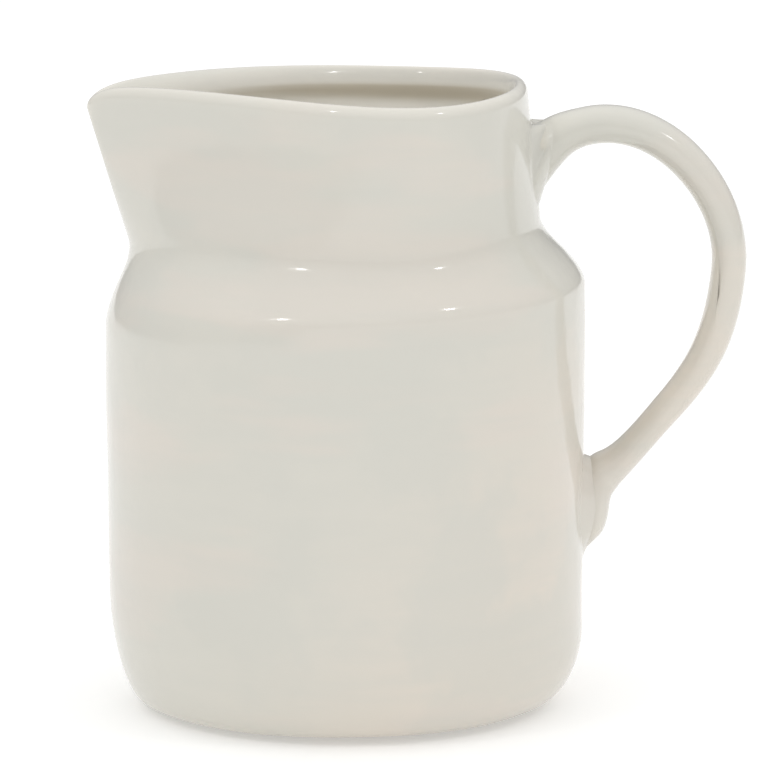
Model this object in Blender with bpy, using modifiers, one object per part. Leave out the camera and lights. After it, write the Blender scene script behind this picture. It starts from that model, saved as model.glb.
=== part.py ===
"""A glazed ceramic pitcher with a pulled spout and a strap handle.

Frame: metres, +Z up. The pitcher stands on z = 0 with its spout towards -X and its handle towards
+X. The origin is on the table, under the middle of the pitcher's bounding box, so the axis of the
vessel is a little towards the spout from it.

Every clay piece is a loft: a stack of closed rings, because the vessel turns from a round foot to a
drop-shaped rim, and the handle from a thick root to a thin tail.
"""

import math

import bmesh
import bpy
from mathutils import Vector

# ---- driving dimensions -----------------------------------------------------------------------

# Heights of the vessel and the handle are above the vessel's underside.
UNDERSIDE = 0.0020  # the height of the vessel's underside over the table
HEIGHT = 0.1887  # mean height of the rim's crest
BODY_RADIUS = 0.0727
BODY_TAPER = 0.0028  # how much the wall widens for each metre of height
TAPER_FROM = 0.060
FLANK_RIM = 0.061  # half width of the mouth, across the spout's direction
NECK_TO_HANDLE = 0.0597
NECK_TO_SPOUT = 0.0590
RIM_TUCK = 0.0052  # how much the neck leans in towards the rim on the handle's side
SPOUT_START = 0.1201  # height where the spout leaves the neck
SPOUT_SLOPE = 0.2855
SPOUT_BLEND = 0.002
SQUEEZE = 0.70  # how strongly the mouth is drawn together towards the spout
SQUEEZE_FLOOR = 0.10  # keeps the spout's tip round

# Middle height and height of the sloping shoulder band, on each side of the vessel.
SHOULDER_HANDLE = (0.1381, 0.0200)
SHOULDER_SPOUT = (0.1293, 0.0282)
SHOULDER_FLANK = (0.1347, 0.0180)

# Inset and height of the rounded lower corner, on each side of the vessel.
CORNER_HANDLE = (0.0122, 0.0220)
CORNER_SPOUT = (0.0102, 0.0352)
CORNER_FLANK = (0.0177, 0.0376)
CORNER_POWER = 1.82

WALL = 0.0055
FLOOR_TOP = 0.0068
INNER_CORNER = (0.018, 0.026)

LIP_OUTER = (0.0030, 0.0035)  # how far the lip rolls inwards, and how high
LIP_INNER = (0.0030, 0.0035)
SPOUT_LIP_INNER = (0.0105, 0.0090)  # the same at the spout, where the lip is broad
SPOUT_LIP_SPREAD = 0.60  # radians of turn to either side of the spout's tip
RIM_WAVE = 0.00095
TIP_DIP = 0.0029
TIP_SPREAD = 0.35

CUTTER_BOTTOM = 0.020  # the handle and its clay stay above this height

FOOT_OUTER = 0.044
FOOT_INNER = 0.036
FOOT_HEIGHT = 0.0017
FOOT_CHAMFER = 0.0005

GAP = 0.0003  # the clearance that neighbouring clay pieces keep

HANDLE_REACH = 0.1216  # outside of the handle, from the vessel's axis

# The handle's centre line in the plane y = 0, as (x, z) from the vessel's axis, with the direction
# it runs in (degrees from +X) and the lengths of its Bezier handles before and after the knot.
HANDLE_LINE = (
    ((0.0505, 0.1576), 48.0, 0.0000, 0.0030),
    ((0.0556, 0.1638), 54.0, 0.0085, 0.0108),
    ((0.0728, 0.1758), 13.0, 0.0063, 0.0229),
    ((0.1162, 0.1321), -95.0, 0.0240, 0.0267),
    ((0.0924, 0.0829), -130.4, 0.0178, 0.0175),
    ((0.0776, 0.0682), -128.9, 0.0050, 0.0061),
    ((0.0745, 0.0546), -112.0, 0.0050, 0.0050),
    ((0.0705, 0.0446), -123.3, 0.0054, 0.0000),
)
STRAP_SIZE = (
    (0.0193, 0.0260),
    (0.0147, 0.0225),
    (0.0113, 0.0190),
    (0.0106, 0.0165),
    (0.0088, 0.0155),
    (0.0124, 0.0180),
    (0.0101, 0.0190),
    (0.0031, 0.0140),
)
STRAP_POWER = 2.3  # 2 is an ellipse, more is squarer

# The clay round each root of the handle. First the middle height of the strap where it meets the
# vessel, and how fast that middle rises for each metre away from the vessel. Then how far the clay
# spreads over the vessel, and how far it climbs up the strap: above, beside and below the strap.
UPPER_ROOT = (0.1640, 1.6)
UPPER_SPREAD = (0.0032, 0.0060, 0.0018)
UPPER_CLIMB = (0.0032, 0.0045, 0.0018)
LOWER_ROOT = (0.0600, 0.0)
LOWER_SPREAD = (0.0022, 0.0050, 0.0034)
LOWER_CLIMB = (0.0022, 0.0034, 0.0018)
WIDEST_ROOT = 0.030  # no root reaches this far from its middle
CLAY_EDGE = 0.0009  # how thick the clay is where it ends on the handle and on the vessel
CLAY_DEPTH = 0.0030  # how far the clay reaches into the vessel before it is cut
CLAY_BEND = 0.62  # 0 is a straight slope between handle and vessel, 1 a sharp corner
CLAY_STEPS = 4

TURNS = 60  # points round the vessel
STRAP_SIDES = 16
STRAP_STEPS = 9  # rings in each stretch of the handle
ROOT_SIDES = 28

# ---- materials --------------------------------------------------------------------------------

GLAZE_WHITE = (0.66, 0.63, 0.585)
BARE_CLAY = (0.74, 0.66, 0.55)


def make_material(name, colour, roughness):
    material = bpy.data.materials.new(name)
    material.use_nodes = True
    shader = material.node_tree.nodes["Principled BSDF"]
    shader.inputs["Base Color"].default_value = (*colour, 1.0)
    shader.inputs["Roughness"].default_value = roughness
    shader.inputs["Metallic"].default_value = 0.0
    material.diffuse_color = (*colour, 1.0)
    return material


# ---- the vessel's outside, as a formula --------------------------------------------------------


def rise(value, middle, width):
    """0 below a band of this width, 1 above it, and smooth inside it."""
    share = min(max((value - middle) / width + 0.5, 0.0), 1.0)
    return share * share * (3.0 - 2.0 * share)


def corner_inset(height, corner):
    """How far the rounded lower corner draws the wall in at this height."""
    inset, top = corner
    share = min(max((top - height) / top, 0.0), 1.0)
    return inset * (1.0 - (1.0 - share**CORNER_POWER) ** (1.0 / CORNER_POWER))


def reach(height, neck, shoulder, corner):
    """Distance from the axis to the outside of the wall: body, shoulder and neck."""
    body = BODY_RADIUS + BODY_TAPER * (height - TAPER_FROM) - corner_inset(height, corner)
    return body - (BODY_RADIUS - neck) * rise(height, *shoulder)


def reach_to_handle(height):
    above = max(0.0, height - SHOULDER_HANDLE[0]) / (HEIGHT - SHOULDER_HANDLE[0])
    return reach(height, NECK_TO_HANDLE, SHOULDER_HANDLE, CORNER_HANDLE) - RIM_TUCK * above


def reach_to_spout(height):
    above = (height - SPOUT_START) / SPOUT_BLEND
    ramp = SPOUT_BLEND * (above if above > 30.0 else math.log1p(math.exp(above)))
    return reach(height, NECK_TO_SPOUT, SHOULDER_SPOUT, CORNER_SPOUT) + SPOUT_SLOPE * ramp


def reach_to_flank(height):
    return reach(height, FLANK_RIM, SHOULDER_FLANK, CORNER_FLANK)


def drop_width(turn, squeeze):
    """The half width of a drop-shaped section at this turn from the handle, not yet scaled."""
    return math.sin(turn) * (math.cos(turn / 2.0) ** 2 + SQUEEZE_FLOOR) ** squeeze


def widest(squeeze):
    return max(drop_width(math.pi * step / 90.0, squeeze) for step in range(91))


def outside(turn, height):
    """The point of the vessel's outer surface at this turn from the handle (0) to the spout (pi)."""
    to_handle = reach_to_handle(height)
    to_spout = reach_to_spout(height)
    middle = (to_handle - to_spout) / 2.0
    half_length = (to_handle + to_spout) / 2.0
    climb = (height - SPOUT_START) / (HEIGHT - SPOUT_START)
    squeeze = SQUEEZE * rise(climb, 0.5, 1.0)
    across = reach_to_flank(height) * drop_width(turn, squeeze) / widest(squeeze)
    lift = rim_lift(turn) * rise(climb, 0.5, 1.0)
    return Vector((middle + half_length * math.cos(turn), across, height + lift))


def from_spout(turn):
    """The angle between this turn and the spout's tip."""
    return abs(math.remainder(turn - math.pi, 2.0 * math.pi))


def rim_lift(turn):
    """The rim is not quite level: it has a slight wave, and it dips at the spout's tip."""
    away = from_spout(turn)
    return -RIM_WAVE * math.cos(3.0 * away) - TIP_DIP * math.exp(-((away / TIP_SPREAD) ** 2))


def outward(turn, height):
    """The unit normal of the outer surface."""
    step_turn = 0.01
    step_height = 0.0004
    along = outside(turn + step_turn, height) - outside(turn - step_turn, height)
    up = outside(turn, height + step_height) - outside(turn, height - step_height)
    return along.cross(up).normalized()


def outward_in_plan(turn, height):
    normal = outward(turn, height)
    return Vector((normal.x, normal.y, 0.0)).normalized()


# ---- lofts ------------------------------------------------------------------------------------


def turns(count):
    return [2.0 * math.pi * step / count for step in range(count)]


def loft(name, rings, closed=False):
    """A closed mesh through rings of equal length; a closed loft joins its last ring to its first."""
    shape = bmesh.new()
    rows = [[shape.verts.new(point) for point in ring] for ring in rings]
    pairs = list(zip(rows, rows[1:]))
    if closed:
        pairs.append((rows[-1], rows[0]))
    for lower, upper in pairs:
        for here in range(len(lower)):
            after = (here + 1) % len(lower)
            shape.faces.new((lower[here], lower[after], upper[after], upper[here]))
    if not closed:
        for row in (rows[0], rows[-1]):
            middle = shape.verts.new(sum((vert.co for vert in row), Vector()) / len(row))
            for here in range(len(row)):
                shape.faces.new((row[here], row[(here + 1) % len(row)], middle))
    bmesh.ops.recalc_face_normals(shape, faces=shape.faces)
    mesh = bpy.data.meshes.new(name)
    shape.to_mesh(mesh)
    shape.free()
    return bpy.data.objects.new(name, mesh)


def place(thing, collection, material=None):
    """Puts a piece in its collection, at the middle of the vessel's underside, with its material."""
    collection.objects.link(thing)
    thing.location = (AXIS_X, 0.0, UNDERSIDE)
    if material:
        thing.data.materials.append(material)
        thing.data.shade_smooth()
        thing.data.set_sharp_from_angle(angle=math.radians(50.0))
    else:
        thing.hide_render = True
        thing.display_type = "WIRE"
    return thing


def cut(thing, cutter, label):
    modifier = thing.modifiers.new(label, "BOOLEAN")
    modifier.operation = "DIFFERENCE"
    modifier.solver = "EXACT"
    modifier.object = cutter


# ---- the vessel -------------------------------------------------------------------------------


def outer_heights():
    """Heights of the rings on the outer wall: close together at the corner and the shoulder."""
    top = HEIGHT - LIP_OUTER[1]
    corner_top = max(CORNER_HANDLE[1], CORNER_SPOUT[1], CORNER_FLANK[1])
    quarter = [step * math.pi / 14.0 for step in range(8)]
    corner = [corner_top * (1.0 - math.cos(angle)) for angle in quarter]
    wall = [0.062, 0.082, 0.100, 0.112]
    shoulder = [0.1155 + 0.0033 * step for step in range(11)]
    neck = [shoulder[-1] + (top - shoulder[-1]) * share for share in (0.15, 0.35, 0.58, 0.80, 1.0)]
    return corner + wall + shoulder + neck


def lip_rings():
    """The rolled lip, from the outer wall over the crest to the inner wall."""
    top = HEIGHT - LIP_OUTER[1]
    rings = []
    for step in (1, 2, 3):
        angle = step * math.pi / 6.0
        inwards = LIP_OUTER[0] * (1.0 - math.cos(angle))
        lift = LIP_OUTER[1] * math.sin(angle)
        rings.append([rim_point(turn, top, inwards, lift) for turn in turns(TURNS)])
    for step in (1, 2, 3):
        angle = step * math.pi / 6.0
        rings.append([inner_lip_point(turn, top, angle) for turn in turns(TURNS)])
    return rings


def rim_point(turn, top, inwards, lift):
    return outside(turn, top) - outward_in_plan(turn, top) * inwards + Vector((0.0, 0.0, lift))


def inner_lip(turn):
    """How far inwards and down the inner half of the lip goes here: broader at the spout."""
    broad = math.exp(-((from_spout(turn) / SPOUT_LIP_SPREAD) ** 2))
    inwards = LIP_INNER[0] + (SPOUT_LIP_INNER[0] - LIP_INNER[0]) * broad
    down = LIP_INNER[1] + (SPOUT_LIP_INNER[1] - LIP_INNER[1]) * broad
    return inwards, down


def inner_lip_point(turn, top, angle):
    inwards, down = inner_lip(turn)
    total = LIP_OUTER[0] + inwards * math.sin(angle)
    return rim_point(turn, top, total, LIP_OUTER[1] - down * (1.0 - math.cos(angle)))


def inside(turn, height):
    """The point of the inner surface: the wall's thickness behind the outer surface, more at the lip."""
    inset, corner_height = INNER_CORNER
    low = FLOOR_TOP + corner_height - height
    share = min(max(low / corner_height, 0.0), 1.0)
    corner = inset * (1.0 - math.sqrt(1.0 - share * share))
    inwards, down = inner_lip(turn)
    extra = LIP_OUTER[0] + inwards - WALL
    near_lip = rise(height, HEIGHT - 0.028, 0.050)
    point = outside(turn, height)
    if low > 0.0:
        return point - outward_in_plan(turn, height) * (WALL + corner)
    return point - outward(turn, height) * (WALL + extra * near_lip)


def inner_heights():
    """Heights of the rings down the inner wall to the edge of the floor."""
    below_lip = [HEIGHT - drop for drop in (0.017, 0.023, 0.030, 0.038)]
    shoulder = [0.1475 - 0.0036 * step for step in range(9)]
    wall = [0.106, 0.085, 0.060]
    corner_height = INNER_CORNER[1]
    quarter = [step * math.pi / 10.0 for step in range(6)]
    corner = [FLOOR_TOP + corner_height * (1.0 - math.sin(angle)) for angle in quarter]
    return below_lip + shoulder + wall + corner


def scaled(ring, share, height):
    return [Vector((point.x * share, point.y * share, height)) for point in ring]


def make_vessel_body(collection, glaze):
    outer = [[outside(turn, height) for turn in turns(TURNS)] for height in outer_heights()]
    inner = [[inside(turn, height) for turn in turns(TURNS)] for height in inner_heights()]
    underside = [scaled(outer[0], share, 0.0) for share in (0.35, 0.70)]
    floor = [scaled(inner[-1], share, FLOOR_TOP) for share in (0.66, 0.33)]
    rings = underside + outer + lip_rings() + inner + floor
    return place(loft("vessel_body", rings), collection, glaze)


def make_body_cutter(collection):
    """The vessel's outside as a solid, one clearance larger all round."""
    heights = [height for height in outer_heights() if height > CUTTER_BOTTOM]
    rings = [
        [outside(turn, height) + outward(turn, height) * GAP for turn in turns(2 * TURNS)]
        for height in heights
    ]
    return place(loft("cutter_vessel", rings), collection)


def make_foot_ring(collection, clay):
    """The bare ring under the floor: a small chamfered section turned about the axis."""
    chamfer = FOOT_CHAMFER
    profile = (
        (FOOT_INNER, FOOT_HEIGHT),
        (FOOT_OUTER, FOOT_HEIGHT),
        (FOOT_OUTER, chamfer),
        (FOOT_OUTER - chamfer, 0.0),
        (FOOT_INNER + chamfer, 0.0),
        (FOOT_INNER, chamfer),
    )
    mesh = bpy.data.meshes.new("foot_ring")
    points = [(radius, 0.0, height - UNDERSIDE) for radius, height in profile]
    edges = [(here, (here + 1) % len(profile)) for here in range(len(profile))]
    mesh.from_pydata(points, edges, [])
    ring = place(bpy.data.objects.new("foot_ring", mesh), collection, clay)
    screw = ring.modifiers.new("turned", "SCREW")
    screw.steps = 64
    screw.render_steps = 64
    screw.use_merge_vertices = True
    screw.merge_threshold = 0.00001
    screw.use_smooth_shade = False
    return ring


# ---- the handle -------------------------------------------------------------------------------


def bezier(start, start_handle, end_handle, end, share):
    """Point and direction on one cubic Bezier stretch."""
    rest = 1.0 - share
    point = (
        start * rest**3
        + start_handle * (3.0 * rest * rest * share)
        + end_handle * (3.0 * rest * share * share)
        + end * share**3
    )
    direction = (
        (start_handle - start) * (rest * rest)
        + (end_handle - start_handle) * (2.0 * rest * share)
        + (end - end_handle) * (share * share)
    )
    return point, direction.normalized()


def knot_direction(degrees):
    angle = math.radians(degrees)
    return Vector((math.cos(angle), 0.0, math.sin(angle)))


def strap_at(distance):
    """Centre, direction, thickness and width of the strap; distance counts knots from the top root."""
    last = len(HANDLE_LINE) - 2
    stretch = min(int(distance), last)
    share = distance - stretch
    (x, z), degrees, _, after = HANDLE_LINE[stretch]
    (next_x, next_z), next_degrees, before, _ = HANDLE_LINE[stretch + 1]
    start = Vector((x, 0.0, z))
    end = Vector((next_x, 0.0, next_z))
    start_handle = start + knot_direction(degrees) * after
    end_handle = end - knot_direction(next_degrees) * before
    centre, direction = bezier(start, start_handle, end_handle, end, share)
    smooth = share * share * (3.0 - 2.0 * share)
    thickness, width = (
        here + (there - here) * smooth
        for here, there in zip(STRAP_SIZE[stretch], STRAP_SIZE[stretch + 1])
    )
    return centre, direction, thickness, width


def strap_ring(distance, grow, sides):
    """A ring of the strap's surface, a rounded oblong section across its centre line."""
    centre, direction, thickness, width = strap_at(distance)
    across = Vector((0.0, 1.0, 0.0))
    over = direction.cross(across)
    ring = []
    for turn in turns(sides):
        cosine = math.cos(turn)
        sine = math.sin(turn)
        out = math.copysign(abs(cosine) ** (2.0 / STRAP_POWER), cosine) * (thickness / 2.0 + grow)
        side = math.copysign(abs(sine) ** (2.0 / STRAP_POWER), sine) * (width / 2.0 + grow)
        ring.append(centre + over * out + across * side)
    return ring


def strap_rings(first, last, grow, sides):
    count = int(round((last - first) * STRAP_STEPS))
    return [strap_ring(first + (last - first) * step / count, grow, sides) for step in range(count + 1)]


def tail_cap(grow, sides):
    """Rings that round off the tail's end."""
    end = len(HANDLE_LINE) - 1
    centre, direction, thickness, _ = strap_at(end)
    ring = strap_ring(end, grow, sides)
    caps = []
    for angle in (math.pi / 6.0, math.pi / 3.0):
        ahead = direction * (thickness / 2.0 + grow) * math.sin(angle)
        caps.append([centre + (point - centre) * math.cos(angle) + ahead for point in ring])
    return caps


def make_handle(collection, glaze, cutter):
    end = len(HANDLE_LINE) - 1
    rings = strap_rings(0, end, 0.0, STRAP_SIDES) + tail_cap(0.0, STRAP_SIDES)
    handle = place(loft("handle", rings), collection, glaze)
    cut(handle, cutter, "meets the vessel")
    return handle


# ---- the luting clay at the handle's roots -----------------------------------------------------


def strap_excess(point):
    """Below 0 inside the strap, 0 on its surface and above 0 outside it."""
    sections = (strap_at(step / 50.0) for step in range(50 * len(STRAP_SIZE) - 49))
    nearest = min(sections, key=lambda section: (section[0] - point).length_squared)
    centre, direction, thickness, width = nearest
    over = direction.cross(Vector((0.0, 1.0, 0.0)))
    out = abs((point - centre).dot(over)) / (thickness / 2.0)
    side = abs(point.y) / (width / 2.0)
    return out**STRAP_POWER + side**STRAP_POWER - 1.0


def root_point(root, angle, radius, lift):
    """A point this far above the vessel, at an angle (0 is up) and radius round a root's middle."""
    middle, climb = root
    height = middle + climb * lift + radius * math.cos(angle)
    small_turn = 0.01
    turn = radius * math.sin(angle) * small_turn / outside(small_turn, height).y
    return outside(turn, height) + outward(turn, height) * lift


def strap_radius(root, angle, lift):
    """The radius where the strap's surface lies at this angle round the root and this lift."""
    low = 0.0
    high = WIDEST_ROOT
    while high - low > 0.00001:
        middle = (low + high) / 2.0
        if strap_excess(root_point(root, angle, middle, lift)) < 0.0:
            low = middle
        else:
            high = middle
    return high


def margin(angle, above, beside, below):
    """A width that changes smoothly round a root."""
    upright = above if math.cos(angle) > 0.0 else below
    return beside + (upright - beside) * math.cos(angle) ** 2


def make_luting(name, root, spread, climb, collection, glaze, cutters):
    """Clay that fills the corner between the strap and the vessel, all round one root."""
    rings = [[] for _ in range(CLAY_STEPS + 3)]
    for angle in turns(ROOT_SIDES):
        reach_out = strap_radius(root, angle, 0.0)
        wide = reach_out + margin(angle, *spread)
        lift = margin(angle, *climb)
        strap = strap_radius(root, angle, lift)
        on_vessel = root_point(root, angle, wide, CLAY_EDGE)
        on_strap = root_point(root, angle, strap + CLAY_EDGE, lift)
        corner = root_point(root, angle, reach_out + CLAY_EDGE, CLAY_EDGE)
        from_vessel = on_vessel.lerp(corner, CLAY_BEND)
        from_strap = on_strap.lerp(corner, CLAY_BEND)
        rings[0].append(root_point(root, angle, wide, -CLAY_DEPTH))
        for step in range(CLAY_STEPS + 1):
            share = step / CLAY_STEPS
            rings[step + 1].append(bezier(on_vessel, from_vessel, from_strap, on_strap, share)[0])
        rings[-1].append(root_point(root, angle, strap / 2.0, lift))
    clay = place(loft(name, rings), collection, glaze)
    for cutter, label in cutters:
        cut(clay, cutter, label)
    return clay


# ---- the pitcher ------------------------------------------------------------------------------

# The vessel's axis, placed so that the spout's tip and the handle lie equally far from x = 0.
AXIS_X = (reach_to_spout(HEIGHT - LIP_OUTER[1]) - HANDLE_REACH) / 2.0


def main():
    for thing in list(bpy.data.objects):
        bpy.data.objects.remove(thing, do_unlink=True)
    pitcher = bpy.data.collections.new("ceramic_pitcher")
    cutters = bpy.data.collections.new("cutters")
    for collection in (pitcher, cutters):
        bpy.context.scene.collection.children.link(collection)

    glaze = make_material("white_glaze", GLAZE_WHITE, 0.12)
    clay = make_material("bare_clay", BARE_CLAY, 0.85)

    vessel_cutter = make_body_cutter(cutters)
    last = len(HANDLE_LINE) - 1
    strap = strap_rings(0, last, GAP, STRAP_SIDES) + tail_cap(GAP, STRAP_SIDES)
    strap_cutter = place(loft("cutter_strap", strap), cutters)

    make_vessel_body(pitcher, glaze)
    make_foot_ring(pitcher, clay)
    make_handle(pitcher, glaze, vessel_cutter)
    luted = ((strap_cutter, "holds the strap"), (vessel_cutter, "meets the vessel"))
    upper = (UPPER_ROOT, UPPER_SPREAD, UPPER_CLIMB)
    lower = (LOWER_ROOT, LOWER_SPREAD, LOWER_CLIMB)
    make_luting("upper_luting_collar", *upper, pitcher, glaze, luted)
    make_luting("lower_luting_pad", *lower, pitcher, glaze, luted)


main()
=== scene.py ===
"""The looks of the glazed ceramic pitcher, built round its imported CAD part.

Every clay piece is made again as a fine mesh from the CAD part's own formulas, in metres from the
vessel's axis, with the soft unevenness of hand-formed clay. The luting clay becomes fillets that
close the CAD part's gaps. Seen close up, their edges still show as fine lines.
"""

import functools
import math

import bmesh
import bpy
import numpy as np
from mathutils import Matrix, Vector, noise


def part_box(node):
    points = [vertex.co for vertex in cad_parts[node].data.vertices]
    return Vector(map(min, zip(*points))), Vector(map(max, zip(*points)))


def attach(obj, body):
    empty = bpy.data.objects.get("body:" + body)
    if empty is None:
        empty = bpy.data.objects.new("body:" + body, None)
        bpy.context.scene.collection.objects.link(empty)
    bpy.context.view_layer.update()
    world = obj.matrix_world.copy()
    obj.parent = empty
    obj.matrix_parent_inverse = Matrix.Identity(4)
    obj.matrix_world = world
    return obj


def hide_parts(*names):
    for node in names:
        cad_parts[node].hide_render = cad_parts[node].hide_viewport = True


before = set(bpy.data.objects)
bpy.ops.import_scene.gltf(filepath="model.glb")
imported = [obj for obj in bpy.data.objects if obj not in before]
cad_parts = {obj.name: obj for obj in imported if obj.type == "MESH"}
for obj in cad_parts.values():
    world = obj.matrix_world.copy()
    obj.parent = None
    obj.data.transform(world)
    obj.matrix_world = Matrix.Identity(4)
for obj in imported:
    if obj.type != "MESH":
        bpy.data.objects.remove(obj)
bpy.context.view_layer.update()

# ---- driving dimensions in metres: the CAD part's own, unless a comment says otherwise -----------

foot_low, foot_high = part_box("foot_ring")
body_low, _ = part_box("vessel_body")
AXIS_X = (foot_low.x + foot_high.x) / 2.0
UNDERSIDE = body_low.z

# Heights of the vessel and the handle are above the vessel's underside.
FOOT_INNER = 0.036
FOOT_SOFTNESS = 0.0006
HEIGHT = 0.1887
BODY_RADIUS = 0.0727
BODY_TAPER = 0.0028
TAPER_FROM = 0.060
FLANK_RIM = 0.061
NECK_TO_HANDLE = 0.0597
NECK_TO_SPOUT = 0.0590
RIM_TUCK = 0.0052
SPOUT_START = 0.1201
SPOUT_SLOPE = 0.2855
SPOUT_BLEND = 0.002
SQUEEZE = 0.70
SQUEEZE_FLOOR = 0.10

# Middle height and height of the sloping shoulder band, on each side of the vessel.
SHOULDER_HANDLE = (0.1381, 0.0200)
SHOULDER_SPOUT = (0.1293, 0.0282)
SHOULDER_FLANK = (0.1347, 0.0180)

# Inset and height of the rounded lower corner, on each side of the vessel.
CORNER_HANDLE = (0.0122, 0.0220)
CORNER_SPOUT = (0.0102, 0.0352)
CORNER_FLANK = (0.0177, 0.0376)
CORNER_POWER = 1.82

WALL = 0.0055
FLOOR_TOP = 0.0068
INNER_CORNER = (0.018, 0.026)
SPOUT_LIP_SPREAD = 0.60
RIM_WAVE = 0.00095
TIP_DIP = 0.0029
TIP_SPREAD = 0.35

# The lining is finer than the CAD part's. Its outline is the outside's from this much higher up,
# and the wall thickens by this much towards the spout's lip, over this depth.
INNER_DROP = 0.0022
SPOUT_LIP = 0.0080
SPOUT_LIP_DEPTH = 0.040

# The rolled lip is finer too: how far it reaches inwards and upwards from the outer wall, and how
# far it rolls down inside, round the mouth and at the spout.
LIP_ROLL = (0.0028, 0.0035)
LIP_DOWN = (0.0060, 0.0095)

# Only in the looks: a shallow groove round the inside under the lip, which fades out at the spout.
GROOVE_DEPTH = 0.0013
GROOVE_DROP = 0.0108
GROOVE_WIDTH = 0.0040
GROOVE_FADE = 0.9

# The handle's centre line: (x, z) from the vessel's axis, direction in degrees from +X, and the
# lengths of the Bezier handles before and after the knot. Then the strap's thickness and width.
HANDLE_LINE = (
    ((0.0505, 0.1576), 48.0, 0.0000, 0.0030),
    ((0.0556, 0.1638), 54.0, 0.0085, 0.0108),
    ((0.0728, 0.1758), 13.0, 0.0063, 0.0229),
    ((0.1162, 0.1321), -95.0, 0.0240, 0.0267),
    ((0.0924, 0.0829), -130.4, 0.0178, 0.0175),
    ((0.0776, 0.0682), -128.9, 0.0050, 0.0061),
    ((0.0745, 0.0546), -112.0, 0.0050, 0.0050),
    ((0.0705, 0.0446), -123.3, 0.0054, 0.0000),
)
STRAP_SIZE = (
    (0.0193, 0.0260),
    (0.0147, 0.0225),
    (0.0113, 0.0190),
    (0.0106, 0.0165),
    (0.0088, 0.0155),
    (0.0124, 0.0180),
    (0.0101, 0.0190),
    (0.0031, 0.0140),
)
STRAP_POWER = 2.3
STRAP_END = len(HANDLE_LINE) - 1

# Only in the looks: the tail is pressed to a rounded tip. This is where along the strap, counted
# in knots, its sides start to draw in, and the share of its width that is gone at the tip.
TAIL_START = 5.5
TAIL_TAPER = 0.50

# The clay round each root of the handle. First the middle height of the strap where it meets the
# vessel, and how fast that middle rises for each metre away from the vessel. Then how far the clay
# spreads over the vessel, and how far it climbs up the strap: above, beside and below the strap.
# The clay spreads further than in the CAD part, because its edges are finer here.
UPPER_ROOT = (0.1640, 1.6)
UPPER_SPREAD = (0.0034, 0.0110, 0.0014)
UPPER_CLIMB = (0.0034, 0.0075, 0.0016)
LOWER_ROOT = (0.0600, 0.0)
LOWER_SPREAD = (0.0030, 0.0090, 0.0030)
LOWER_CLIMB = (0.0030, 0.0048, 0.0018)
WIDEST_ROOT = 0.030
CLAY_BEND = 0.60

ACROSS = Vector((0.0, 1.0, 0.0))
QUARTER = math.pi / 2.0

# ---- how fine the surfaces are, and how uneven the clay is --------------------------------------

TURNS = 240
STRAP_SIDES = 56
STRAP_STEPS = 34
FILLET_SIDES = 120
FILLET_STEPS = 20
SUNK = 0.00006  # how far the edge of a fillet lies under the surface that it leaves
FILLET_DEPTH = 0.0010
FILLET_PROBE = 0.0005  # the step that finds a surface's direction at the edge of a fillet

CLAY_WAVES = ((26.0, 0.00040), (60.0, 0.00012))  # waves per metre, height
STRAP_WAVES = 0.5  # how uneven the strap is, compared with the vessel
STRAP_WAVE_SPREAD = (0.006, 0.009)  # where that unevenness is read round the strap: over, across
SKIN_SEED, LINING_SEED, STRAP_SEED = 3.0, 11.0, 23.0

TURN_PROBE = 0.01  # the steps, in radians and metres, that find the outer surface's normal
HEIGHT_PROBE = 0.0004


def clay_wave(point, seed):
    """The unevenness of hand-formed clay at this point, in metres along the surface's normal."""
    offset = Vector((seed, 2.0 * seed, -seed))
    return sum(size * noise.noise(point * pace + offset) for pace, size in CLAY_WAVES)


# ---- the vessel's outside, as a formula --------------------------------------------------------


def rise(value, middle, width):
    """0 below a band of this width, 1 above it, and smooth inside it."""
    share = min(max((value - middle) / width + 0.5, 0.0), 1.0)
    return share * share * (3.0 - 2.0 * share)


def corner_inset(height, corner):
    inset, top = corner
    share = min(max((top - height) / top, 0.0), 1.0)
    return inset * (1.0 - (1.0 - share**CORNER_POWER) ** (1.0 / CORNER_POWER))


def reach(height, neck, shoulder, corner):
    """Distance from the axis to the outside of the wall: body, shoulder and neck."""
    body = BODY_RADIUS + BODY_TAPER * (height - TAPER_FROM) - corner_inset(height, corner)
    return body - (BODY_RADIUS - neck) * rise(height, *shoulder)


def reach_to_handle(height):
    above = max(0.0, height - SHOULDER_HANDLE[0]) / (HEIGHT - SHOULDER_HANDLE[0])
    return reach(height, NECK_TO_HANDLE, SHOULDER_HANDLE, CORNER_HANDLE) - RIM_TUCK * above


def reach_to_spout(height):
    above = (height - SPOUT_START) / SPOUT_BLEND
    ramp = SPOUT_BLEND * (above if above > 30.0 else math.log1p(math.exp(above)))
    return reach(height, NECK_TO_SPOUT, SHOULDER_SPOUT, CORNER_SPOUT) + SPOUT_SLOPE * ramp


def reach_to_flank(height):
    return reach(height, FLANK_RIM, SHOULDER_FLANK, CORNER_FLANK)


def drop_width(turn, squeeze):
    """The half width of a drop-shaped section at this turn from the handle, not yet scaled."""
    return math.sin(turn) * (math.cos(turn / 2.0) ** 2 + SQUEEZE_FLOOR) ** squeeze


@functools.cache
def widest(squeeze):
    """The largest half width of a drop-shaped section."""
    return max(drop_width(math.pi * step / 90.0, squeeze) for step in range(91))


def from_spout(turn):
    """The angle between this turn and the spout's tip."""
    return abs(math.remainder(turn - math.pi, 2.0 * math.pi))


def rim_lift(turn):
    away = from_spout(turn)
    return -RIM_WAVE * math.cos(3.0 * away) - TIP_DIP * math.exp(-((away / TIP_SPREAD) ** 2))


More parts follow.
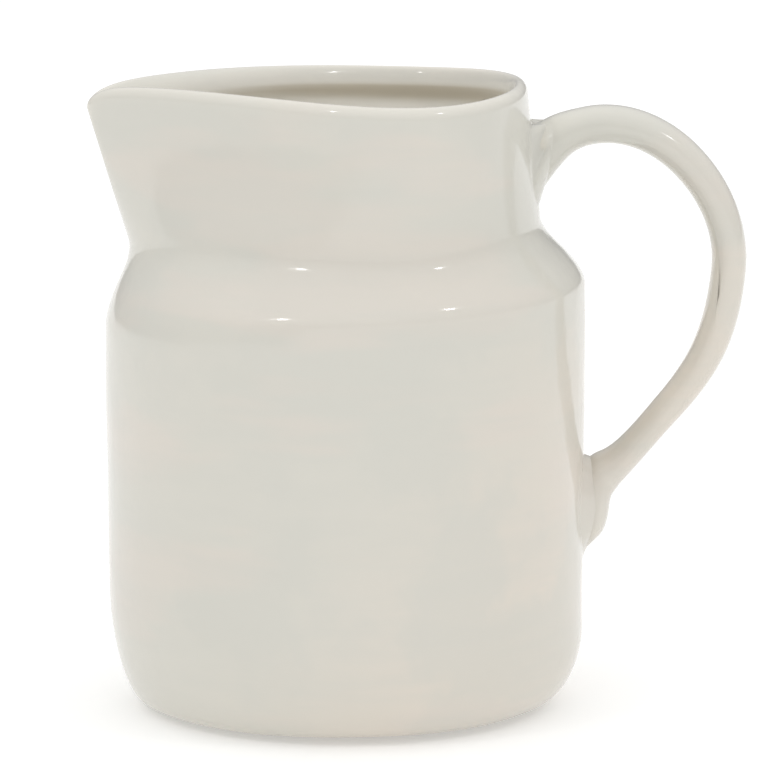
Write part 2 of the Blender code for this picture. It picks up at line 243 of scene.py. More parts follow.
def section(turn, height, inset, spout_inset):
    """A point of the drop-shaped section at this height, drawn in by an inset, as (x, y)."""
    to_handle = reach_to_handle(height) - inset
    to_spout = reach_to_spout(height) - spout_inset
    middle = (to_handle - to_spout) / 2.0
    half_length = (to_handle + to_spout) / 2.0
    squeeze = SQUEEZE * mouth_share(height)
    half_width = (reach_to_flank(height) - inset) / widest(round(squeeze, 3))
    return middle + half_length * math.cos(turn), half_width * drop_width(turn, squeeze)


def mouth_share(height):
    """0 below the spout and 1 at the rim."""
    return rise((height - SPOUT_START) / (HEIGHT - SPOUT_START), 0.5, 1.0)


def outside(turn, height):
    """The point of the even outer surface at this turn from the handle (0) to the spout (pi)."""
    x, y = section(turn, height, 0.0, 0.0)
    return Vector((x, y, height + rim_lift(turn) * mouth_share(height)))


def inside(turn, height):
    """The point of the even inner surface: the wall thickens at the floor and the spout's lip."""
    inset, corner_height = INNER_CORNER
    low = min(max((FLOOR_TOP + corner_height - height) / corner_height, 0.0), 1.0)
    thickness = WALL + inset * (1.0 - math.sqrt(1.0 - low * low))
    lip = SPOUT_LIP * rise(height, HEIGHT - SPOUT_LIP_DEPTH / 2.0, SPOUT_LIP_DEPTH)
    x, y = section(turn, height + INNER_DROP, thickness, thickness + lip)
    return Vector((x, y, height + rim_lift(turn) * mouth_share(height)))


def outward(turn, height):
    """The unit normal of the outer surface."""
    along = outside(turn + TURN_PROBE, height) - outside(turn - TURN_PROBE, height)
    up = outside(turn, height + HEIGHT_PROBE) - outside(turn, height - HEIGHT_PROBE)
    return along.cross(up).normalized()


def outward_in_plan(turn, height):
    normal = outward(turn, height)
    return Vector((normal.x, normal.y, 0.0)).normalized()


def skin(turn, height, lift=0.0):
    """The outer surface with the clay's unevenness, or a point this far above it."""
    point = outside(turn, height)
    return point + outward(turn, height) * (clay_wave(point, SKIN_SEED) + lift)


# ---- meshes -----------------------------------------------------------------------------------

SHARP_EDGE = 60.0  # degrees between faces


def turns(count):
    return [2.0 * math.pi * step / count for step in range(count)]


def loft(name, rings, closed=False):
    """A mesh through rings of equal length, capped at both ends or closed into a loop."""
    shape = bmesh.new()
    rows = [[shape.verts.new(point) for point in ring] for ring in rings]
    pairs = list(zip(rows, rows[1:]))
    if closed:
        pairs.append((rows[-1], rows[0]))
    for lower, upper in pairs:
        for here in range(len(lower)):
            after = (here + 1) % len(lower)
            shape.faces.new((lower[here], lower[after], upper[after], upper[here]))
    if not closed:
        for row in (rows[0], rows[-1]):
            middle = shape.verts.new(sum((vert.co for vert in row), Vector()) / len(row))
            for here in range(len(row)):
                shape.faces.new((row[here], row[(here + 1) % len(row)], middle))
    bmesh.ops.recalc_face_normals(shape, faces=shape.faces)
    bmesh.ops.translate(shape, verts=shape.verts, vec=(AXIS_X, 0.0, UNDERSIDE))
    mesh = bpy.data.meshes.new(name)
    shape.to_mesh(mesh)
    shape.free()
    mesh.shade_smooth()
    mesh.set_sharp_from_angle(angle=math.radians(SHARP_EDGE))
    piece = bpy.data.objects.new(name, mesh)
    bpy.context.scene.collection.objects.link(piece)
    return piece


def stand_for(piece, node, material):
    """The piece takes the CAD node's place, on the pitcher's one body."""
    piece.data.materials.clear()
    piece.data.materials.append(material)
    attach(piece, "root")
    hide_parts(node)


# ---- the vessel -------------------------------------------------------------------------------


def spread(first, last, count):
    """This many even values from the first to just before the last."""
    return [first + (last - first) * step / count for step in range(count)]


def lip_point(turn, angle):
    """The rolled lip: angle is 0 at the outer wall, a quarter turn at the crest and pi inside."""
    inwards, roll = LIP_ROLL
    top = skin(turn, HEIGHT - roll)
    plan = outward_in_plan(turn, HEIGHT - roll)
    if angle <= QUARTER:
        lift = Vector((0.0, 0.0, roll * math.sin(angle)))
        return top - plan * (inwards * (1.0 - math.cos(angle))) + lift
    broad = math.exp(-((from_spout(turn) / SPOUT_LIP_SPREAD) ** 2))
    down = LIP_DOWN[0] + (LIP_DOWN[1] - LIP_DOWN[0]) * broad
    crest = top - plan * inwards + Vector((0.0, 0.0, roll))
    end = lining(turn, crest.z - down - rim_lift(turn))
    across = -math.cos(angle)
    flat = crest.lerp(end, across)
    return Vector((flat.x, flat.y, crest.z + (end.z - crest.z) * (1.0 - math.sin(angle))))


def lining(turn, height):
    """The inner surface with the clay's unevenness and the groove under the lip."""
    point = inside(turn, height)
    towards_axis = Vector((-point.x, -point.y, 0.0)).normalized()
    groove = GROOVE_DEPTH * groove_share(turn, height)
    return point + towards_axis * (clay_wave(point, LINING_SEED) - groove)


def groove_share(turn, height):
    """1 in the middle of the groove under the lip, and 0 away from it and at the spout."""
    off_middle = (HEIGHT - GROOVE_DROP - height) / GROOVE_WIDTH
    away = from_spout(turn) / GROOVE_FADE
    return math.exp(-(off_middle**2)) * (1.0 - math.exp(-(away**2)))


# Heights that bound the vessel's shoulder, where the rings lie closest together.
SHOULDER_BAND = (0.112, 0.150)
INNER_SHOULDER_BAND = (0.108, 0.148)
LIP_FITTING = 0.030  # the inner rings are fitted to the lip's end over this height
UNDERSIDE_SHARES = (0.25, 0.5, 0.75, 0.92)  # rings across the underside
FLOOR_SHARES = (1.0, 0.85, 0.65, 0.45, 0.25)  # rings across the floor
LIT_LINING_BLEND = 10.0  # rings over which the outer glaze turns into the lining's lighter colour, which is painted light
GROOVE_SHADE = 0.50  # hollowness added in the groove under the lip, as painted shade
GROOVE_SHADE_RISE = 0.0036  # the painted shade sits this far above the middle of the groove


def outer_heights():
    corner_top = max(CORNER_HANDLE[1], CORNER_SPOUT[1], CORNER_FLANK[1])
    low, high = SHOULDER_BAND
    heights = [corner_top * (1.0 - math.cos(angle)) for angle in spread(0.0, QUARTER, 26)]
    heights += spread(corner_top, low, 24) + spread(low, high, 46)
    return heights + spread(high, HEIGHT - LIP_ROLL[1], 18)


def inner_heights():
    corner_height = INNER_CORNER[1]
    low, high = INNER_SHOULDER_BAND
    heights = spread(HEIGHT - LIP_DOWN[0], high, 22) + spread(high, low, 32)
    heights += spread(low, FLOOR_TOP + corner_height, 18)
    for angle in spread(0.0, QUARTER, 16):
        heights.append(FLOOR_TOP + corner_height * (1.0 - math.sin(angle)))
    return heights


def flat_rings(points, shares, height):
    """Rings at one height, each a share of the size of the ring through these points."""
    return [
        [Vector((point.x * share, point.y * share, height)) for point in points]
        for share in shares
    ]


def make_vessel():
    around = turns(TURNS)
    outer = outer_heights()
    lip = spread(0.0, QUARTER, 9) + spread(QUARTER, math.pi, 12)
    rings = flat_rings([skin(turn, 0.0) for turn in around], UNDERSIDE_SHARES, 0.0)
    rings += [[skin(turn, height) for turn in around] for height in outer]
    rings += [[lip_point(turn, angle) for turn in around] for angle in lip]
    rings += [[inner_point(turn, height) for turn in around] for height in inner_heights()]
    rings += flat_rings([lining(turn, FLOOR_TOP) for turn in around], FLOOR_SHARES, FLOOR_TOP)
    vessel = loft("pitcher_vessel", rings)
    mark_hollows(vessel)
    mark_lit_lining_and_groove_shade(vessel, len(outer) + len(UNDERSIDE_SHARES) + len(lip))
    return vessel


def mark_lit_lining_and_groove_shade(vessel, first_ring):
    """Stores where the inside is painted lighter, as painted light, and adds painted shade in the
    groove under the lip.
    """
    mesh = vessel.data
    lit_lining_share = mesh.attributes.new("lining", "FLOAT", "POINT")
    hollow = mesh.attributes["hollow"]
    for index, vertex in enumerate(mesh.vertices):
        ring, step = divmod(index, TURNS)
        share = min(max((ring - first_ring) / LIT_LINING_BLEND + 1.0, 0.0), 1.0)
        lit_lining_share.data[index].value = share
        turn = 2.0 * math.pi * step / TURNS
        height = vertex.co.z - UNDERSIDE - rim_lift(turn)
        # Painted shade in the groove under the lip, added to the hollowness.
        groove_shade = groove_share(turn, height - GROOVE_SHADE_RISE) ** 2
        hollow.data[index].value += GROOVE_SHADE * share * groove_shade


def inner_point(turn, height):
    """The inner wall below the lip, with the heights near the lip fitted to start at its end."""
    start = lip_point(turn, math.pi).z - rim_lift(turn)
    above = HEIGHT - LIP_DOWN[0]
    below = HEIGHT - LIP_FITTING
    if height > below:
        height = below + (height - below) * (start - below) / (above - below)
    return lining(turn, height)


def make_foot():
    """The bare ring under the floor, with softly rounded edges."""
    soft = FOOT_SOFTNESS
    outer = (foot_high.x - foot_low.x) / 2.0 - soft
    inner = FOOT_INNER + soft
    low = foot_low.z + soft
    high = foot_high.z - soft
    corners = (
        (outer, low, -QUARTER),
        (outer, high, 0.0),
        (inner, high, QUARTER),
        (inner, low, math.pi),
    )
    rings = []
    for radius, height, start in corners:
        for angle in [*spread(start, start + QUARTER, 5), start + QUARTER]:
            reach_out = radius + soft * math.cos(angle)
            above = height + soft * math.sin(angle) - UNDERSIDE
            rings.append([
                Vector((reach_out * math.cos(turn), reach_out * math.sin(turn), above))
                for turn in turns(TURNS)
            ])
    return loft("pitcher_foot", rings, closed=True)


# ---- the strap --------------------------------------------------------------------------------

ENTRY_RANGE = (-0.4, 2.2)  # distances in knots between which the strap leaves the wall
ENTRY_FINEST = 0.0002


def knot_direction(degrees):
    angle = math.radians(degrees)
    return Vector((math.cos(angle), 0.0, math.sin(angle)))


def bezier(start, start_handle, end_handle, end, share):
    """Point and direction on one cubic Bezier stretch."""
    rest = 1.0 - share
    point = (
        start * rest**3
        + start_handle * (3.0 * rest * rest * share)
        + end_handle * (3.0 * rest * share * share)
        + end * share**3
    )
    direction = (
        (start_handle - start) * (rest * rest)
        + (end_handle - start_handle) * (2.0 * rest * share)
        + (end - end_handle) * (share * share)
    )
    return point, direction.normalized()


def strap_at(distance):
    """Centre, direction, thickness and width; distance counts knots from the upper root."""
    stretch = min(max(int(distance), 0), STRAP_END - 1)
    share = distance - stretch
    (x, z), degrees, _, after = HANDLE_LINE[stretch]
    (next_x, next_z), next_degrees, before, _ = HANDLE_LINE[stretch + 1]
    start = Vector((x, 0.0, z))
    end = Vector((next_x, 0.0, next_z))
    start_handle = start + knot_direction(degrees) * after
    end_handle = end - knot_direction(next_degrees) * before
    centre, direction = bezier(start, start_handle, end_handle, end, share)
    smooth = rise(share, 0.5, 1.0)
    thickness, width = (
        here + (there - here) * smooth
        for here, there in zip(STRAP_SIZE[stretch], STRAP_SIZE[stretch + 1])
    )
    towards_tip = max(0.0, distance - TAIL_START) / (STRAP_END - TAIL_START)
    return centre, direction, thickness, width * (1.0 - TAIL_TAPER * towards_tip**2)


def signed_power(value, exponent):
    return math.copysign(abs(value) ** exponent, value)


def strap_point(distance, turn):
    """A point of the strap's surface: turn is 0 on the outside of the loop and pi on the inside."""
    centre, direction, thickness, width = strap_at(distance)
    over = direction.cross(ACROSS)
    cosine = math.cos(turn)
    sine = math.sin(turn)
    out = signed_power(cosine, 2.0 / STRAP_POWER)
    side = signed_power(sine, 2.0 / STRAP_POWER)
    spread_over, spread_across = STRAP_WAVE_SPREAD
    place = centre + over * (spread_over * cosine) + ACROSS * (spread_across * sine)
    wave = STRAP_WAVES * clay_wave(place, STRAP_SEED)
    return centre + over * (out * (thickness / 2.0 + wave)) + ACROSS * (side * (width / 2.0 + wave))


def depth_in_wall(point):
    """How far the point lies inside the middle of the wall, on the handle's side."""
    wall = reach_to_handle(point.z) - point.y**2 / (2.0 * NECK_TO_HANDLE) - WALL / 2.0
    return wall - point.x


def crossing(low, high, finest, is_before):
    """The value, found by halving, where is_before changes from true to false."""
    while high - low > finest:
        middle = (low + high) / 2.0
        if is_before(middle):
            low = middle
        else:
            high = middle
    return high


def entry(turn):
    """The distance where this side of the strap leaves the middle of the neck's wall."""

    def is_in_wall(distance):
        return depth_in_wall(strap_point(distance, turn)) > 0.0

    return crossing(*ENTRY_RANGE, ENTRY_FINEST, is_in_wall)


def make_strap():
    around = turns(STRAP_SIDES)
    starts = [entry(turn) for turn in around]
    rings = []
    for share in spread(0.0, 1.0, STRAP_END * STRAP_STEPS):
        places = [start + (STRAP_END - start) * share for start in starts]
        rings.append([strap_point(place, turn) for place, turn in zip(places, around)])
    centre, direction, thickness, _ = strap_at(STRAP_END)
    tail = [strap_point(STRAP_END, turn) for turn in around]
    for angle in spread(0.0, QUARTER, 6):
        ahead = direction * (thickness / 2.0 * math.sin(angle))
        rings.append([centre + (point - centre) * math.cos(angle) + ahead for point in tail])
    return loft("pitcher_strap", rings)


# ---- the luting clay --------------------------------------------------------------------------

MARKS = [(step / 20.0, strap_at(step / 20.0)[0]) for step in range(20 * STRAP_END + 1)]
STRAP_PROBE = 0.01  # in knots: the step that finds how fast the centre line moves
RADIUS_FINEST = 0.00001


def strap_excess(point):
    """Below 0 inside the strap, 0 on its surface and above 0 outside it."""
    nearest = min(MARKS, key=lambda mark: (mark[1] - point).length_squared)
    distance = nearest[0]
    for _ in range(3):
        centre, direction, _, _ = strap_at(distance)
        after = min(distance + STRAP_PROBE, STRAP_END)
        ahead = strap_at(after)[0] - strap_at(distance - STRAP_PROBE)[0]
        pace = ahead.length / (after - distance + STRAP_PROBE)
        distance = min(distance + (point - centre).dot(direction) / pace, STRAP_END)
    centre, direction, thickness, width = strap_at(distance)
    over = direction.cross(ACROSS)
    out = (point - centre).dot(over) / (thickness / 2.0)
    side = point.y / (width / 2.0)
    exponent = STRAP_POWER / 2.0
    turn = math.atan2(signed_power(side, exponent), signed_power(out, exponent))
    reach_out = strap_point(distance, turn) - centre
    return (point - centre - direction * (point - centre).dot(direction)).length - reach_out.length


def root_point(root, angle, radius, lift):
    """A point this far above the vessel, at an angle (0 is up) and radius round a root's middle."""
    middle, climb = root
    height = middle + climb * lift + radius * math.cos(angle)
    turn = radius * math.sin(angle) * TURN_PROBE / outside(TURN_PROBE, height).y
    return skin(turn, height, lift)


def strap_radius(root, angle, lift):
    """The radius where the strap's surface lies at this angle round the root and this lift."""

    def is_inside(radius):
        return strap_excess(root_point(root, angle, radius, lift)) < 0.0

    return crossing(0.0, WIDEST_ROOT, RADIUS_FINEST, is_inside)


def margin(angle, above, beside, below):
    """A width that changes smoothly round a root."""
    upright = above if math.cos(angle) > 0.0 else below
    return beside + (upright - beside) * math.cos(angle) ** 2


def make_fillet(name, root, spread_out, climb_up):
    """Clay that bends from the strap to the wall, in directions probed along both surfaces."""
    rings = [[] for _ in range(FILLET_STEPS + 3)]
    for angle in turns(FILLET_SIDES):
        meeting = strap_radius(root, angle, 0.0)
        wide = meeting + margin(angle, *spread_out)
        lift = margin(angle, *climb_up)
        strap = strap_radius(root, angle, lift)
        on_wall = root_point(root, angle, wide, -SUNK)
        on_strap = root_point(root, angle, strap - SUNK, lift)
        corner = root_point(root, angle, meeting, 0.0)
        lower = lift - FILLET_PROBE
        below = strap_radius(root, angle, lower) - SUNK
        down_strap = root_point(root, angle, below, lower) - on_strap
        along_wall = root_point(root, angle, wide - FILLET_PROBE, -SUNK) - on_wall
        from_strap = on_strap + down_strap.normalized() * (CLAY_BEND * (corner - on_strap).length)
        from_wall = on_wall + along_wall.normalized() * (CLAY_BEND * (corner - on_wall).length)
        for step in range(FILLET_STEPS + 1):
            point, _ = bezier(on_strap, from_strap, from_wall, on_wall, step / FILLET_STEPS)
            rings[step].append(point)
        rings[FILLET_STEPS + 1].append(root_point(root, angle, wide, -FILLET_DEPTH))
        rings[FILLET_STEPS + 2].append(root_point(root, angle, strap - FILLET_DEPTH, lift))
    return loft(name, rings, closed=True)


# ---- materials --------------------------------------------------------------------------------


class Nodes:
    """Adds nodes to a material and joins them."""

    def __init__(self, name):
        self.material = bpy.data.materials.new(name)
        self.material.use_nodes = True
        self.tree = self.material.node_tree
        self.shader = self.tree.nodes["Principled BSDF"]
        self.place = self.add("ShaderNodeTexCoord").outputs["Object"]

    def add(self, kind, **settings):
        node = self.tree.nodes.new(kind)
        for key, value in settings.items():
            setattr(node, key, value)
        return node

    def join(self, source, socket):
        self.tree.links.new(source, socket)

    def noise(self, scale, detail=3.0, roughness=0.5, stretch=(1.0, 1.0, 1.0)):
        """Noise with this many patches to a metre, times the stretch along X, Y and Z."""
        node = self.add("ShaderNodeTexNoise")
        place = self.add("ShaderNodeMapping")
        place.inputs["Scale"].default_value = stretch
        self.join(self.place, place.inputs["Vector"])
        self.join(place.outputs["Vector"], node.inputs["Vector"])
        node.inputs["Scale"].default_value = scale
        node.inputs["Detail"].default_value = detail
        node.inputs["Roughness"].default_value = roughness
        return node.outputs["Fac"]

    def ramp(self, x, y, z, start):
        """A value that changes by x, y and z for each metre along those axes."""
        node = self.add("ShaderNodeVectorMath", operation="DOT_PRODUCT")
        self.join(self.place, node.inputs[0])
        node.inputs[1].default_value = (x, y, z)
        return self.math("ADD", node.outputs["Value"], start)

    def fit(self, value, low, high, to_low=0.0, to_high=1.0):
        """The value between low and high, spread smoothly over a new range."""
        node = self.add("ShaderNodeMapRange", interpolation_type="SMOOTHSTEP")
        self.join(value, node.inputs["Value"])
        node.inputs["From Min"].default_value = low
        node.inputs["From Max"].default_value = high
        node.inputs["To Min"].default_value = to_low
        node.inputs["To Max"].default_value = to_high
        return node.outputs["Result"]

    def math(self, operation, first, second):
        node = self.add("ShaderNodeMath", operation=operation)
        for socket, value in zip(node.inputs, (first, second)):
            if isinstance(value, (int, float)):
                socket.default_value = value
            else:
                self.join(value, socket)
        return node.outputs["Value"]

    def mix(self, share, first, second):
        """A colour between two others, each a tuple or another node's output."""
        node = self.add("ShaderNodeMix", data_type="RGBA")
        self.join(share, node.inputs["Factor"])
        for socket, value in zip((node.inputs["A"], node.inputs["B"]), (first, second)):
            if isinstance(value, tuple):
                socket.default_value = (*value, 1.0)
            else:
                self.join(value, socket)
        return node.outputs["Result"]

    def specks(self, scale, size, share):
        """1 in small round spots about one to a cell, in this share of the cells."""
        node = self.add("ShaderNodeTexVoronoi")
        self.join(self.place, node.inputs["Vector"])
        node.inputs["Scale"].default_value = scale
        spot = self.fit(node.outputs["Distance"], size * scale * 0.6, size * scale, 1.0, 0.0)
        split = self.add("ShaderNodeSeparateColor")
        self.join(node.outputs["Color"], split.inputs["Color"])
        chosen = self.math("LESS_THAN", split.outputs["Red"], share)
        return self.math("MULTIPLY", spot, chosen)

    def bump(self, height, distance, before=None):
        node = self.add("ShaderNodeBump")
        node.inputs["Distance"].default_value = distance
        self.join(height, node.inputs["Height"])
        if before is not None:
            self.join(before, node.inputs["Normal"])
        return node.outputs["Normal"]


GLAZE_COOL = (0.677, 0.660, 0.597)  # high up and towards the spout
# Partly the glaze's own warm tone, partly painted light: lighter low down, where the body is lit
# from the bright floor.
GLAZE_WARM_AND_LIT = (0.745, 0.681, 0.600)  # low down and towards the handle
GLAZE_GREY = (0.649, 0.640, 0.583)
GLAZE_ROSE = (0.724, 0.664, 0.596)
# Partly pooled glaze, partly painted shade in hollows and creases.
GLAZE_POOL_AND_SHADE = (0.590, 0.521, 0.397)
# Painted light: the lining is coloured lighter than the outside glaze, standing in for the light
# inside the vessel.
GLAZE_LINING_PAINTED_LIGHT = (0.900, 0.872, 0.800)
# Partly thin glaze, partly painted highlight on ridges and the lip's crest.
GLAZE_THIN_AND_LIT = (0.782, 0.748, 0.675)
PINHOLE = (0.220, 0.150, 0.090)
CLAY = (0.560, 0.480, 0.380)
CLAY_DARK = (0.450, 0.370, 0.280)

# The glaze turns warmer and lighter by this much for each metre along X, Y and Z, from this start:
# partly its own warm tone, partly painted light, as the body is lighter low down.
GLAZE_SLOPE = (9.0, 0.0, -7.0, 0.9)
GLAZE_SLOPE_RANGE = (0.0, 1.2)

# What the brush left: each layer's noise, the range of that noise over which the layer comes in,
# how strongly it covers what is under it, and its colour.
BRUSH_LAYERS = (
    ((17.0, 4.0, 0.55), (0.46, 0.56), 0.55, GLAZE_GREY),
    ((9.0, 3.0, 0.5, (1.0, 1.0, 4.0)), (0.50, 0.60), 0.50, GLAZE_ROSE),
    ((14.0, 3.0, 0.6, (1.0, 1.0, 7.0)), (0.40, 0.62), 0.30, GLAZE_GREY),
)

# How the colour follows hollows and ridges: from and to this hollowness, from and to this share.
# Hollows darken, partly glaze that pools there and partly painted shade; ridges lighten, partly
# thin glaze and partly painted highlight.
POOLING_AND_SHADE = (0.54, 0.95, 0.0, 0.75)
THINNING_AND_LIGHT = (0.46, 0.15, 0.0, 0.60)

# Specks: cells to a metre, radius, and the share of the cells with a speck.
PINHOLES = (70.0, 0.00042, 0.05)
PINHOLE_STRENGTH = 0.85
GRIT = (900.0, 0.00035, 0.12)
STAIN_STRENGTH = 0.4

# The range of a noise that stands for the range of roughness, and that range.
GLAZE_ROUGHNESS = (0.3, 0.7, 0.07, 0.15)
CLAY_ROUGHNESS = (0.3, 0.7, 0.72, 0.92)
GLAZE_IOR = 1.42

# Heights of the bumps, in metres.
GLAZE_WAVE_BUMP = 0.00022
GLAZE_PEEL_BUMP = 0.000012
PINHOLE_BUMP = 0.00015
GRAIN_BUMP = 0.00012


def make_glaze():
    """Off-white glaze, warmer towards the foot and the handle, with what the brush left; painted
    light makes it lighter low down and inside, and painted shade and highlight join the pooled and
    thinned glaze in hollows and on ridges.
    """
    nodes = Nodes("white_glaze")
    warmth_and_light = nodes.fit(nodes.ramp(*GLAZE_SLOPE), *GLAZE_SLOPE_RANGE)
    colour = nodes.mix(warmth_and_light, GLAZE_COOL, GLAZE_WARM_AND_LIT)
    for pattern, band, strength, tone in BRUSH_LAYERS:
        layer = nodes.fit(nodes.noise(*pattern), *band)
        colour = nodes.mix(nodes.math("MULTIPLY", layer, strength), colour, tone)
    # The inside is painted lighter than the outside, as painted light.
    lit_lining_share = nodes.add("ShaderNodeAttribute", attribute_name="lining").outputs["Fac"]
    colour = nodes.mix(lit_lining_share, colour, GLAZE_LINING_PAINTED_LIGHT)
    hollow = nodes.add("ShaderNodeAttribute", attribute_name="hollow").outputs["Fac"]
    # Painted shade in hollows and painted highlight on ridges, along with glaze that pools and
    # thins.
    colour = nodes.mix(nodes.fit(hollow, *POOLING_AND_SHADE), colour, GLAZE_POOL_AND_SHADE)
    colour = nodes.mix(nodes.fit(hollow, *THINNING_AND_LIGHT), colour, GLAZE_THIN_AND_LIT)
    pinholes = nodes.specks(*PINHOLES)
    colour = nodes.mix(nodes.math("MULTIPLY", pinholes, PINHOLE_STRENGTH), colour, PINHOLE)
    nodes.join(colour, nodes.shader.inputs["Base Color"])
    gloss = nodes.fit(nodes.noise(35.0), *GLAZE_ROUGHNESS)
    nodes.join(gloss, nodes.shader.inputs["Roughness"])
    nodes.shader.inputs["IOR"].default_value = GLAZE_IOR
    waves = nodes.bump(nodes.noise(75.0, 2.0), GLAZE_WAVE_BUMP)
    peel = nodes.bump(nodes.noise(900.0, 2.0), GLAZE_PEEL_BUMP, waves)
    pits = nodes.bump(nodes.math("MULTIPLY", pinholes, -1.0), PINHOLE_BUMP, peel)
    nodes.join(pits, nodes.shader.inputs["Normal"])
    return nodes.material


def make_bare_clay():
    """Unglazed clay with a fine grain, soft stains and darker grit."""
    nodes = Nodes("bare_clay")
    grain = nodes.noise(1500.0, 4.0, 0.7)
    stain = nodes.fit(nodes.noise(60.0, 3.0), 0.35, 0.7)
    colour = nodes.mix(nodes.math("MULTIPLY", stain, STAIN_STRENGTH), CLAY, CLAY_DARK)
    colour = nodes.mix(nodes.specks(*GRIT), colour, CLAY_DARK)
    nodes.join(colour, nodes.shader.inputs["Base Color"])
    nodes.join(nodes.fit(grain, *CLAY_ROUGHNESS), nodes.shader.inputs["Roughness"])
    nodes.join(nodes.bump(grain, GRAIN_BUMP), nodes.shader.inputs["Normal"])
    return nodes.material


HOLLOW_ROUNDS = 6  # of smoothing
HOLLOW_GAIN = 0.0035  # hollowness for each unit of curvature
FILLET_POOL_AND_SHADE = 0.22  # hollowness added along the middle of a fillet, partly pooled glaze and partly painted shade in the valley


def read_vectors(collection, key):
    values = np.empty(len(collection) * 3)
    collection.foreach_get(key, values)
    return values.reshape(-1, 3)


def mark_hollows(piece):
    """Stores how hollow the surface is at each point: 0 on ridges, 0.5 where flat, 1 in creases."""
    mesh = piece.data
    count = len(mesh.vertices)
    points = read_vectors(mesh.vertices, "co")
    normals = read_vectors(mesh.vertex_normals, "vector")
    ends = np.empty(len(mesh.edges) * 2, dtype=np.int64)
    mesh.edges.foreach_get("vertices", ends)
    first, second = ends.reshape(-1, 2).T
    step = points[second] - points[first]
    square = (step**2).sum(axis=1)
    bend = np.zeros(count)
    np.add.at(bend, first, (step * normals[first]).sum(axis=1) / square)
    np.add.at(bend, second, -(step * normals[second]).sum(axis=1) / square)
    links = np.zeros(count)
    np.add.at(links, first, 1.0)
    np.add.at(links, second, 1.0)
    value = np.clip(bend / links * HOLLOW_GAIN, -0.5, 0.5)
    for _ in range(HOLLOW_ROUNDS):
        total = value.copy()
        np.add.at(total, first, value[second])
        np.add.at(total, second, value[first])
        value = total / (links + 1.0)
    store_hollow(mesh, 0.5 + value)


def mark_fillet_pool_and_shade(piece):
    """Darkens the middle of a fillet, partly glaze that pools there and partly painted shade in the
    valley, and less so towards both of its edges.
    """
    ring = np.arange(len(piece.data.vertices)) // FILLET_SIDES
    share = np.clip(ring / FILLET_STEPS, 0.0, 1.0)
    store_hollow(piece.data, 0.5 + FILLET_POOL_AND_SHADE * np.sin(np.pi * share) ** 2)


def store_hollow(mesh, values):
    attribute = mesh.attributes.new("hollow", "FLOAT", "POINT")
    attribute.data.foreach_set("value", values.astype(np.float32))


# ---- the pitcher ------------------------------------------------------------------------------

glaze = make_glaze()
bare_clay = make_bare_clay()
stand_for(make_vessel(), "vessel_body", glaze)
strap = make_strap()
mark_hollows(strap)
stand_for(strap, "handle", glaze)
upper_clay = make_fillet("pitcher_upper_fillet", UPPER_ROOT, UPPER_SPREAD, UPPER_CLIMB)
lower_clay = make_fillet("pitcher_lower_fillet", LOWER_ROOT, LOWER_SPREAD, LOWER_CLIMB)
for piece, node in ((upper_clay, "upper_luting_collar"), (lower_clay, "lower_luting_pad")):
    mark_fillet_pool_and_shade(piece)
    stand_for(piece, node, glaze)
stand_for(make_foot(), "foot_ring", bare_clay)

# ---- floor, light and camera ------------------------------------------------------------------

FLOOR_RADIUS = 30.0
FLOOR_TONES = ((0.80, 0.80, 0.795), (0.82, 0.82, 0.815))
FLOOR_GLOW = 0.28  # the table is lit from below
WHITE = (1.0, 1.0, 1.0, 1.0)
BACKDROP_STRENGTH = 1.1
WORLD_STRENGTH = 0.32  # at the horizon
TOP_STRENGTH = 1.02  # how much brighter it is overhead
LAMP_AZIMUTHS = (("lamp_left", -43.0), ("lamp_right", 56.0))  # from the camera's side towards +X
LAMP_ELEVATION = 43.0
LAMP_DISTANCE = 1.7
LAMP_SIZE = 0.10
LAMP_POWER = 1.6
CAMERA_DISTANCE = 1.40
CAMERA_ELEVATION = 10.01
SENSOR = 36.0
LENS = 217.3
TARGET = Vector((AXIS_X + 0.0106, 0.0, 0.0944 + UNDERSIDE))


def make_floor():
    bpy.ops.mesh.primitive_circle_add(vertices=128, radius=FLOOR_RADIUS, fill_type="NGON")
    floor = bpy.context.object
    floor.name = "studio_floor"
    nodes = Nodes("studio_floor")
    tone = nodes.fit(nodes.noise(3.0, 2.0), 0.3, 0.7)
    nodes.join(nodes.mix(tone, *FLOOR_TONES), nodes.shader.inputs["Base Color"])
    nodes.shader.inputs["Roughness"].default_value = 0.7
    nodes.shader.inputs["Emission Color"].default_value = WHITE
    nodes.shader.inputs["Emission Strength"].default_value = FLOOR_GLOW
    floor.data.materials.append(nodes.material)


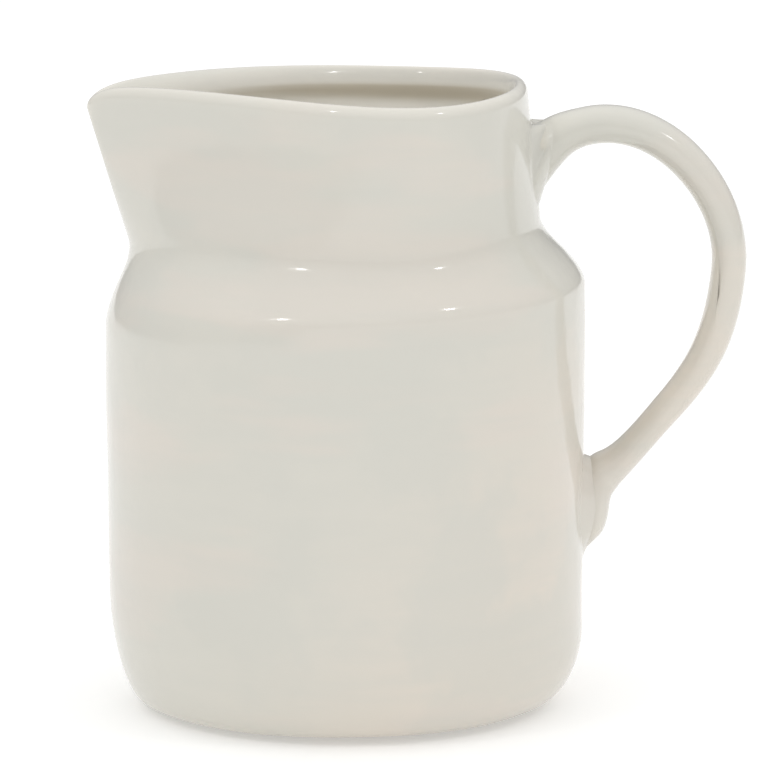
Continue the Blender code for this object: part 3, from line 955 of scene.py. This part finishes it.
def aim(thing, azimuth, elevation, distance):
    """Looks at the pitcher from an azimuth, 0 on the camera's side, that rises towards +X."""
    turn = math.radians(azimuth)
    tilt = math.radians(elevation)
    flat = math.cos(tilt)
    away = Vector((math.sin(turn) * flat, -math.cos(turn) * flat, math.sin(tilt)))
    thing.location = TARGET + away * distance
    thing.rotation_euler = away.to_track_quat("Z", "Y").to_euler()


def make_light(name, azimuth):
    """A small square lamp aimed at the pitcher."""
    lamp = bpy.data.lights.new(name, "AREA")
    lamp.size = LAMP_SIZE
    lamp.energy = LAMP_POWER
    light = bpy.data.objects.new(name, lamp)
    bpy.context.scene.collection.objects.link(light)
    aim(light, azimuth, LAMP_ELEVATION, LAMP_DISTANCE)


def make_camera():
    lens = bpy.data.cameras.new("camera")
    lens.sensor_fit = "HORIZONTAL"
    lens.sensor_width = SENSOR
    lens.lens = LENS
    camera = bpy.data.objects.new("camera", lens)
    bpy.context.scene.collection.objects.link(camera)
    aim(camera, 0.0, CAMERA_ELEVATION, CAMERA_DISTANCE)
    bpy.context.scene.camera = camera


def make_world():
    """Soft light, brightest overhead, in front of a plain white backdrop."""
    world = bpy.data.worlds.new("studio")
    bpy.context.scene.world = world
    world.use_nodes = True
    nodes = world.node_tree.nodes
    links = world.node_tree.links
    place = nodes.new("ShaderNodeTexCoord")
    slope = nodes.new("ShaderNodeVectorMath")
    slope.operation = "DOT_PRODUCT"
    slope.inputs[1].default_value = (0.0, 0.0, TOP_STRENGTH)
    total = nodes.new("ShaderNodeMath")
    total.operation = "ADD"
    total.inputs[1].default_value = WORLD_STRENGTH
    links.new(place.outputs["Generated"], slope.inputs[0])
    links.new(slope.outputs["Value"], total.inputs[0])
    seen = nodes.new("ShaderNodeLightPath").outputs["Is Camera Ray"]
    backdrop = nodes.new("ShaderNodeMix")
    backdrop.inputs["B"].default_value = BACKDROP_STRENGTH
    links.new(seen, backdrop.inputs["Factor"])
    links.new(total.outputs["Value"], backdrop.inputs["A"])
    links.new(backdrop.outputs["Result"], nodes["Background"].inputs["Strength"])
    nodes["Background"].inputs["Color"].default_value = WHITE


bpy.context.scene.view_settings.view_transform = "Standard"
make_floor()
make_world()
for lamp_name, lamp_azimuth in LAMP_AZIMUTHS:
    make_light(lamp_name, lamp_azimuth)
make_camera()
